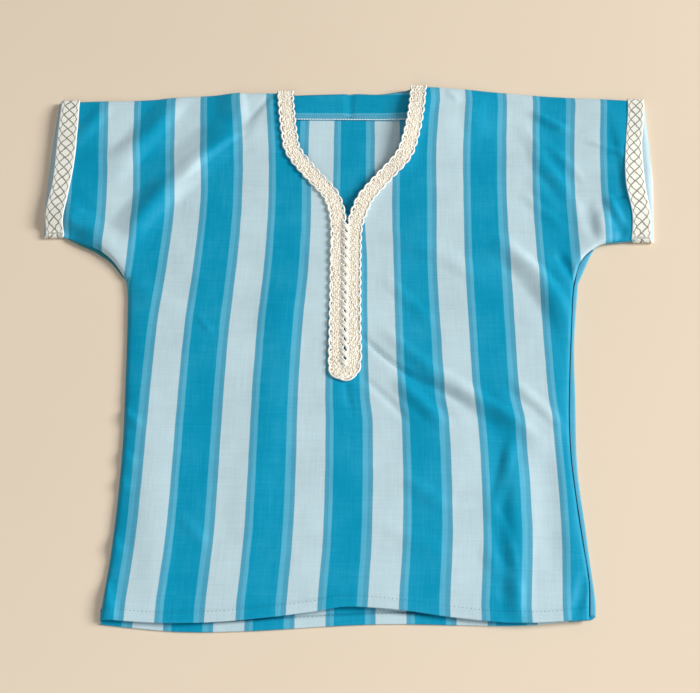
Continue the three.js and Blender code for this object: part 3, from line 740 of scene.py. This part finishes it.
class Nodes:
    """Short calls for a material's or group's node tree."""

    def __init__(self, tree):
        self.tree = tree

    def link(self, source, socket):
        if hasattr(source, "is_output"):
            self.tree.links.new(source, socket)
        else:
            socket.default_value = source

    def add(self, kind, inputs=(), **settings):
        """Adds a node. inputs pair a socket with what it is set or linked to."""
        node = self.tree.nodes.new(kind)
        for name, value in settings.items():
            setattr(node, name, value)
        for socket, source in inputs:
            self.link(source, node.inputs[socket])
        return node

    def math(self, operation, *values):
        return self.add("ShaderNodeMath", enumerate(values), operation=operation).outputs[0]

    def plus(self, first, second):
        return self.math("ADD", first, second)

    def times(self, first, second):
        return self.math("MULTIPLY", first, second)

    def above(self, value, least):
        """How far a value is above the least one, and 0 below it."""
        return self.math("MAXIMUM", self.math("SUBTRACT", value, least), 0.0)

    def noise(self, vector, scale, detail=2.0, roughness=0.5, distortion=0.0):
        return self.add("ShaderNodeTexNoise", (
            ("Vector", vector), ("Scale", scale), ("Detail", detail),
            ("Roughness", roughness), ("Distortion", distortion))).outputs["Fac"]

    def mix(self, share, first, second, blend="MIX"):
        return self.add("ShaderNodeMix", ((0, share), (6, first), (7, second)),
                        data_type="RGBA", blend_type=blend).outputs[2]

    def rise(self, value, start, end):
        """0 at the start, 1 at the end, and smooth between."""
        return self.add("ShaderNodeMapRange", (
            ("Value", value), ("From Min", start), ("From Max", end)),
            interpolation_type="SMOOTHSTEP").outputs[0]

    def parts(self, vector):
        place = self.add("ShaderNodeSeparateXYZ", ((0, vector),))
        return place.outputs["X"], place.outputs["Y"]

    def cloth(self):
        """Place in the cloth, in metres."""
        return self.add("ShaderNodeUVMap", uv_map="lay").outputs["UV"]

    def room(self):
        """Place in the shared frame."""
        return self.add("ShaderNodeTexCoord").outputs["Object"]

    def wander(self, vector, scale, reach):
        """A small soft shift to either side."""
        return self.math("MULTIPLY_ADD", self.noise(vector, scale), 2 * reach, -reach)


def thread_weave():
    """A node group of crossed threads: how light each is, and the relief of the weave,
    both from 0 to 1."""
    tree = bpy.data.node_groups.new("thread weave", "ShaderNodeTree")
    for name, way, kind in (("Vector", "INPUT", "Vector"), ("Slubs", "INPUT", "Float"),
                            ("Threads per metre", "INPUT", "Float"),
                            ("Shade", "OUTPUT", "Float"), ("Height", "OUTPUT", "Float")):
        tree.interface.new_socket(name, in_out=way, socket_type="NodeSocket" + kind)
    n = Nodes(tree)
    vector, slubs, count = n.add("NodeGroupInput").outputs[:3]
    rate = n.times(count, math.pi)
    warp, weft = (n.math("SINE", n.times(part, rate)) for part in n.parts(vector))
    relief = n.math("MULTIPLY_ADD", n.times(warp, weft), 0.5, 0.5)
    stretched = (n.add("ShaderNodeMapping", (("Vector", vector), ("Scale", scale)))
                 for scale in ((1.0, 0.04, 1), (0.04, 1.0, 1)))
    along, across = (n.noise(node.outputs[0], 900.0, 4.0, 0.72, 0.6) for node in stretched)
    uneven = n.plus(n.times(along, 0.55), n.times(across, 0.45))
    cloudy = n.noise(vector, 26.0, 4.0, 0.55)
    uneven = n.plus(n.times(uneven, 0.62), n.times(cloudy, 0.38))
    shade = n.math("MULTIPLY_ADD", n.math("SUBTRACT", uneven, 0.5), slubs, 0.5)
    height = n.plus(n.times(relief, 0.12), n.times(uneven, 0.88))
    n.add("NodeGroupOutput", (("Shade", shade), ("Height", height)))
    return tree


def new_finish(name, roughness, sheen, shine=0.2):
    """A material with its node helper and its Principled shader."""
    material = bpy.data.materials.new(name)
    material.use_nodes = True
    shader = material.node_tree.nodes["Principled BSDF"]
    for socket, value in (("Roughness", roughness), ("Specular IOR Level", shine),
                          ("Sheen Weight", sheen), ("Sheen Roughness", 0.5)):
        shader.inputs[socket].default_value = value
    return material, Nodes(material.node_tree), shader


def add_relief(n, shader, height, strength, distance):
    """Raises a finish by a height from 0 to 1. distance is in metres."""
    bump = n.add("ShaderNodeBump", (
        ("Strength", strength), ("Distance", distance), ("Height", height)))
    n.link(bump.outputs["Normal"], shader.inputs["Normal"])


def weave_on(n, weave, vector, threads, slubs):
    """Adds the thread weave to a material, and gives its shade and height."""
    return n.add("ShaderNodeGroup", (
        ("Vector", vector), ("Threads per metre", threads), ("Slubs", slubs)),
        node_tree=weave).outputs[:2]


PALE = tone(194, 219, 228)
STEEL = tone(78, 164, 195)
SKY = tone(86, 180, 211)
TEAL = tone(0, 153, 192)
WORN = tone(142, 202, 222)  # the lightest threads, where the dye has worn
STRIPES = (  # shares of the repeat from which and to which each colour holds
    (0.004, 0.370, PALE), (0.380, 0.425, STEEL), (0.435, 0.474, SKY), (0.483, 0.856, TEAL),
    (0.865, 0.925, SKY), (0.935, 0.990, STEEL), (0.998, 1.0, PALE),
)


def striped_cotton(weave):
    """Woven cotton with teal, sky, steel blue and pale stripes along the warp."""
    material, n, shader = new_finish("striped cotton", 0.5, 0.0, 0.13)
    lay = n.cloth()
    across = n.plus(n.parts(lay)[0], n.wander(lay, 60.0, 0.0003))
    share = n.math("FRACT", n.math("DIVIDE", across, REPEAT / 1000))
    ramp = n.add("ShaderNodeValToRGB", (("Fac", share),))
    stops = ramp.color_ramp.elements
    places = [(at, colour) for start, end, colour in STRIPES for at in (start, end)]
    for i, (at, colour) in enumerate(places):
        stop = stops[i] if i < 2 else stops.new(at)
        stop.position, stop.color = at, colour
    shade, height = weave_on(n, weave, lay, 3300.0, 1.35)
    thread = n.mix(shade, (0.62, 0.66, 0.70, 1), (1.25, 1.22, 1.20, 1))
    colour = n.mix(1.0, ramp.outputs["Color"], thread, "MULTIPLY")
    worn = n.times(n.above(shade, 0.46), 0.27)
    n.link(n.mix(worn, colour, WORN), shader.inputs["Base Color"])
    add_relief(n, shader, height, 0.35, 0.0002)
    return material


def cotton_yarn(name, light, dark, weave):
    """Soft undyed yarn that drifts between two tones."""
    material, n, shader = new_finish(name, 0.9, 0.25)
    place = n.room()
    drift = n.noise(place, 130.0, 3.0)
    fleck = n.noise(place, 900.0, 2.0)
    share = n.math("MULTIPLY_ADD", drift, 0.7, n.math("MULTIPLY_ADD", fleck, 0.9, -0.3))
    n.link(n.mix(share, dark, light), shader.inputs["Base Color"])
    add_relief(n, shader, weave_on(n, weave, n.cloth(), 1300.0, 0.6)[1], 0.45, 0.0003)
    return material


# Lattice of the cuff tape, in metres.
DIAMOND = 0.0086  # length of a diamond along the tape
MIDDLE_ROW = 0.0037  # from the tape's middle to the sides of its middle diamonds
SIDE_ROW = 0.0017  # and on from there to the lattice's edge
SELVEDGE = (0.0056, 0.0059)  # where the lattice gives way to the plain selvedge


def lattice_tape(weave):
    """Off-white woven tape with a lattice of thin grey-brown lines and plain selvedges."""
    material, n, shader = new_finish("woven lattice tape", 0.85, 0.15)
    lay = n.cloth()
    place_along, place_across = n.parts(lay)
    wander = n.wander(lay, 330.0, 0.00085)
    across = n.math("ABSOLUTE", n.plus(place_across, wander))
    along = n.math("DIVIDE", n.plus(place_along, wander), DIAMOND)
    inner = n.math("MINIMUM", n.times(across, 0.5 / MIDDLE_ROW), 0.5)
    phase = n.plus(inner, n.times(n.above(across, MIDDLE_ROW), 0.5 / SIDE_ROW))
    off = [n.math("ABSOLUTE", n.math("SUBTRACT", n.math(
        "FRACT", n.math("MULTIPLY_ADD", phase, sign, along)), 0.5)) for sign in (1, -1)]
    mark = n.math("SUBTRACT", 1.0, n.rise(n.math("MINIMUM", *off), 0.04, 0.105))
    edge = n.rise(n.math("ABSOLUTE", place_across), *SELVEDGE)
    drawn = n.times(mark, n.math("SUBTRACT", 1.0, edge))
    shade, height = weave_on(n, weave, lay, 1500.0, 0.9)
    ground = n.mix(shade, tone(222, 226, 216), tone(250, 251, 244))
    ground = n.mix(edge, ground, tone(244, 248, 246))
    n.link(n.mix(n.times(drawn, 0.9), ground, tone(118, 110, 96)), shader.inputs["Base Color"])
    relief = n.math("MULTIPLY_ADD", drawn, 0.8, n.times(height, 0.5))
    add_relief(n, shader, relief, 0.6, 0.0004)
    return material


def mottled(name, roughness, sheen, shine, scale, detail, first, second):
    """A plain finish that drifts between two tones."""
    material, n, shader = new_finish(name, roughness, sheen, shine)
    share = n.noise(n.room(), scale, detail)
    n.link(n.mix(share, first, second), shader.inputs["Base Color"])
    return material


def sewing_thread(name, *colour):
    colour = tone(*colour)
    pale = tuple(c * 1.35 for c in colour[:3]) + (1,)
    return mottled(name, 0.7, 0.1, 0.2, 400.0, 2.0, colour, pale)


weave = thread_weave()
COTTON = striped_cotton(weave)
BRAID_YARN = cotton_yarn("cream crochet yarn", tone(255, 254, 248), tone(240, 232, 216), weave)
# The heart is beige yarn, and partly painted shade: its darker tone shows between the
# stitches, where shade falls.
BRAID_HEART_AND_SHADE = cotton_yarn("beige yarn and painted shade between the stitches", tone(240, 232, 212),
                          tone(206, 190, 164), weave)
BRAID_CORD = cotton_yarn("white edge cord", tone(255, 254, 248), tone(240, 236, 224), weave)
LATTICE = lattice_tape(weave)
HEM_THREAD = sewing_thread("hem thread", 40, 88, 114)
WHITE_THREAD = sewing_thread("white thread", 206, 222, 228)
BLUE_THREAD = sewing_thread("light blue thread", 120, 184, 208)
# Painted shade: a dark strand that stands in for the shadow along the right side seam.
PAINTED_SEAM_SHADE = sewing_thread("deep teal painted seam shade", 0, 62, 88)
# Painted shade: a green teal strand for the back's edge in shadow below the left underarm.
PAINTED_UNDERARM_SHADE = sewing_thread("green teal painted shade", 14, 108, 118)

# ---- Pieces of cotton ----

FRONT_CELL = 1.78  # spacing of the front's rows, fine enough for its creases
BACK_CELL = 3.2  # and of the back's, which lies nearly flat
FACING_HALF = 52  # half the facing's width, and the number of its 2 mm columns
FACING_ROWS = 16
FOOT_ROWS = 5  # the first of them, which fold under at its foot
FACING_BEND = 379.6  # height at which the facing's teal begins

bm = new_bmesh()
add_panel(bm, BACK, 1, BACK_CELL, back_cloth, back_lay, False, inset=SIDE_FOLD)
add_side_fold(bm)
back = make_piece(bm, "back_of_striped_cotton", COTTON, "back_panel",
                  thickness=SHEET)

bm = new_bmesh()
add_panel(bm, FRONT, -1, FRONT_CELL, front_cloth, front_lay, True)
front = make_piece(bm, "front_of_striped_cotton", COTTON, "front_panel",
                   thickness=SHEET)


def facing_climb(x):
    """How much higher the facing lies towards its right end."""
    return 0.9 * step(x, 18, 40)


def facing_place(cols, rows):
    """The facing's foot is turned under, so its first rows fold beneath it."""
    x = 2.0 * cols - FACING_HALF
    low = FACING_FOOT + 0.4
    high = BACK["shoulder"](x) - 0.3
    y = low + (high - low) * np.maximum(rows - FOOT_ROWS, 0) / (FACING_ROWS - FOOT_ROWS)
    angle = np.pi * np.clip(FOOT_ROWS - rows, 0, FOOT_ROWS) / FOOT_ROWS
    y = y - 0.4 * np.sin(angle) + np.where(rows == 0, 2.5, 0)
    z = back_under(x, y) + 1.45 - 0.3 * (1 - np.cos(angle))
    z = z + 0.18 * unevenness(x, y, 12.0, 3.3) - 0.9 * np.exp(-((x + 1) / 2.2) ** 2)
    z = z + facing_climb(x)
    across = np.where(y > FACING_BEND, 40.4 + (FACING_BEND - y),
                      43.6 + (FACING_BEND - y) * 0.45)
    return (x, y, z), (across, x)


bm = new_bmesh()
add_grid(bm, FACING_HALF, FACING_ROWS, facing_place)
facing = make_piece(bm, "facing_of_striped_cotton", COTTON,
                    "back_neck_facing", thickness=SHEET)


def sewn_piece(bm, name, thread):
    """Turns thread made in the drafting frame into a piece."""
    flat = np.array([vert.co for vert in bm.verts])
    settle(bm, bm.verts, flat.T, np.zeros((len(flat), 2)))
    return make_piece(bm, name, thread, merge=1e-7)


def running_stitches(name, thread, x, y, z, length, width):
    """A row of running stitches through places in the drafting frame."""
    bm = new_bmesh()
    turns = np.arctan2(np.gradient(y), np.gradient(x))
    for *place, turn in zip(x, y, z, turns):
        add_bead(bm, place, (length, width, 0.4), turn)
    return sewn_piece(bm, name, thread)


def hem_stitches(name, panel, x, surface, lift):
    """Stitches that hold a panel's turned hem."""
    y = panel["hem"](x) + HEM_TURN - 0.3
    return running_stitches(name, HEM_THREAD, x, y, surface(x, y) + lift, 1.4, 0.36)


def facing_row(name, thread, x, above_foot, length, width):
    """A row of thread along the facing."""
    y = np.full(len(x), FACING_FOOT + above_foot)
    z = back_under(x, y) + 1.66 + facing_climb(x)
    return running_stitches(name, thread, x, y, z, length, width)


def seam(name, thread, x, y, lift, radius):
    """Painted shade: a dark strand along a seam pressed to one side, or an edge, where shade
    falls.
    """
    bm = new_bmesh()
    add_strand(bm, x, y, back_under(x, y) + lift, radius)
    return sewn_piece(bm, name, thread)


front_hem = hem_stitches("hem_stitches_of_front", FRONT, np.arange(-141, 139, 2.4),
                         front_cloth, 0.1)
back_hem = hem_stitches("hem_stitches_of_back", BACK, np.arange(-140, 143, 2.4),
                        back_cloth, 0.72)
facing_stitches = facing_row("stitches_of_facing", BLUE_THREAD, np.arange(-44, 45, 1.5),
                             2.7, 0.5, 1.3)
facing_edge = facing_row("selvedge_of_facing", WHITE_THREAD, np.arange(-48, 49, 2.0),
                         0.35, 2.4, 1.0)

# Painted shade along the right side seam and on under the right underarm.
low = np.arange(5, 234, 2.5)
far = np.arange(153, 167, 2.0)
x = np.concatenate([FRONT["side_right"](low) + 0.55, far])
y = np.concatenate([low, FRONT["underarm_right"](far) - 0.55])
right_seam_shade = seam("painted_shade_of_right_seam", PAINTED_SEAM_SHADE, x, y, 2.05, np.full(len(x), 0.4))

# Painted shade: the edge of the cloth in shadow below the left underarm.
x = np.arange(-192, -150, 2.0)
thick, drop = (np.interp(x, [-192, -168, -150], sizes)
               for sizes in ([0.5, 1.5, 0.6], [0.1, 0.9, 0.1]))
left_underarm_shade = seam("painted_shade_of_left_underarm", PAINTED_UNDERARM_SHADE, x, FRONT["underarm_left"](x) - drop,
                 1.0, thick)

# ---- Neck braid ----

PLACKET_LENGTH = 112.0  # along the braid, from the placket's foot to the point of the neck
LOOP_SPACING = 7.1  # nearly, between two loops of the edge cord
STITCH_SPACING = 1.6  # nearly, between two rows of crochet stitches
STITCH_COLUMNS = (-3.5, -2.1, -0.7, 0.7, 2.1, 3.5)

# Outline of the braid's cross-section under its stitches.
BRAID_ACROSS = (0.68, 0.73, 0.69, 0.4, 0, -0.4, -0.69, -0.73, -0.68, -0.2, 0.2)
BRAID_HEIGHT = (0.05, 0.4, 0.85, 1.0, 1.02, 1.0, 0.85, 0.4, 0.05, 0.05, 0.05)

neck = braid_tape()
bm = new_bmesh()
add_tape(bm, neck, BRAID_ACROSS, BRAID_HEIGHT, 1.2)
braid = make_piece(bm, "heart_of_neck_braid", BRAID_HEART_AND_SHADE, "neck_braid",
                   outward=True)

bm = new_bmesh()
rows = round(neck.length / STITCH_SPACING)
for i in range(rows):
    along = i * neck.length / rows
    for j, across in enumerate(STITCH_COLUMNS):
        wander = noise.noise((i * 0.71, j * 3.1, 2.0))
        sway = noise.noise((i * 0.83, j * 2.7, 5.0))
        slant = math.radians((36 if j % 2 else -36) + 150 * wander)
        height = 0.9 + 0.5 * noise.noise((i * 0.9, j * 2.3, 7.0))
        add_bead(bm, (along + 1.2 * wander + 0.8 * (j % 2), across + 1.1 * sway, height),
                 (2.1 + sway, 1.25, 0.9), slant)
lay_on_tape(bm, neck)
stitches = make_piece(bm, "stitches_of_neck_braid", BRAID_YARN, merge=1e-7)

bm = new_bmesh()
t = np.linspace(0, 1, 12)
bulge, arch = np.sin(np.pi * t ** 1.3), np.sin(np.pi * t)
loops_round = round(neck.length / LOOP_SPACING)
for i in range(loops_round):
    start = i * (neck.length / loops_round)
    for edge in (1, -1):
        add_strand(bm, start + edge * (9.6 * t - 1.25), edge * (3.75 + 1.4 * bulge ** 0.9),
                   0.8 + 0.3 * bulge, 0.46 + 0.24 * bulge)
    # two strands that cross the placket from its left side
    for shift, wide in ((0, 1.05), (2.2, 0.9)) if start < PLACKET_LENGTH else ():
        shift += 0.9 * noise.noise((i * 0.9, shift, 4.0))
        wide *= 1 + 0.22 * step(start, 30, 90) + 0.3 * noise.noise((i * 0.7, shift, 8.0))
        add_strand(bm, start + 6 + shift - 8 * t, -2.2 - 6.6 * t, 0.8 + 0.55 * arch,
                   0.3 + (wide - 0.3) * arch)
lay_on_tape(bm, neck)
loops = make_piece(bm, "edge_cord_of_neck_braid", BRAID_CORD, outward=True)

# ---- Cuff bands ----

# Outline of the tape's cross-section: a flat middle, a groove and a selvedge at each side,
# and the side on the cloth.
BAND_ACROSS = (1, 1, 0.93, 0.82, 0.78, 0.4, 0, -0.4, -0.78, -0.82, -0.93, -1, -1, -0.5, 0, 0.5)
BAND_HEIGHT = (0.1, 0.55, 0.72, 0.7, 0.72, 0.7, 0.7, 0.7, 0.72, 0.7, 0.72, 0.55, 0.1, 0.05,
               0.05, 0.05)
for sign, side in ((-1, "left"), (1, "right")):
    bm = new_bmesh()
    add_tape(bm, band_tape(sign, side), BAND_ACROSS, BAND_HEIGHT, 1.6)
    make_piece(bm, "cuff_tape_" + side, LATTICE,
                            "cuff_band_" + side, outward=True)

# ---- Floor, light and camera ----

bm = bmesh.new()
bmesh.ops.create_grid(bm, x_segments=1, y_segments=1, size=3)
mesh = to_mesh(bm, "floor")
mesh.materials.append(mottled("floor", 0.95, 0.0, 0.05, 3.0, 3.0, tone(226, 209, 187),
                              tone(232, 217, 197)))
floor = bpy.data.objects.new("floor", mesh)
floor.location.z = -0.0001
scene.collection.objects.link(floor)

world = bpy.data.worlds.new("soft room light")
world.use_nodes = True
backdrop = world.node_tree.nodes["Background"].inputs
backdrop["Color"].default_value = (1.0, 0.965, 0.915, 1)
backdrop["Strength"].default_value = 0.24
scene.world = world


def add_light(name, place, size, power, colour):
    """A round lamp that shines at the garment's middle."""
    lamp = bpy.data.lights.new(name, "AREA")
    lamp.shape = "DISK"
    lamp.size, lamp.energy, lamp.color = size, power, colour
    light = bpy.data.objects.new(name, lamp)
    light.location = place
    light.rotation_euler = (-Vector(place)).to_track_quat("-Z", "Y").to_euler()
    scene.collection.objects.link(light)


add_light("window", (3.6, 0.45, 2.2), 2.0, 220.0, (1.0, 0.98, 0.95))
add_light("room", (-0.3, -1.6, 1.4), 1.4, 13.0, (0.97, 0.98, 1.0))

lens = bpy.data.cameras.new("camera")
lens.lens = 68.72
lens.sensor_width = 36
camera = bpy.data.objects.new("camera", lens)
camera.location = (0.003921, -0.450093, 0.757227)
camera.rotation_euler = (math.radians(30), 0, math.radians(0.4502))
scene.collection.objects.link(camera)
scene.camera = camera
scene.view_settings.view_transform = "Standard"
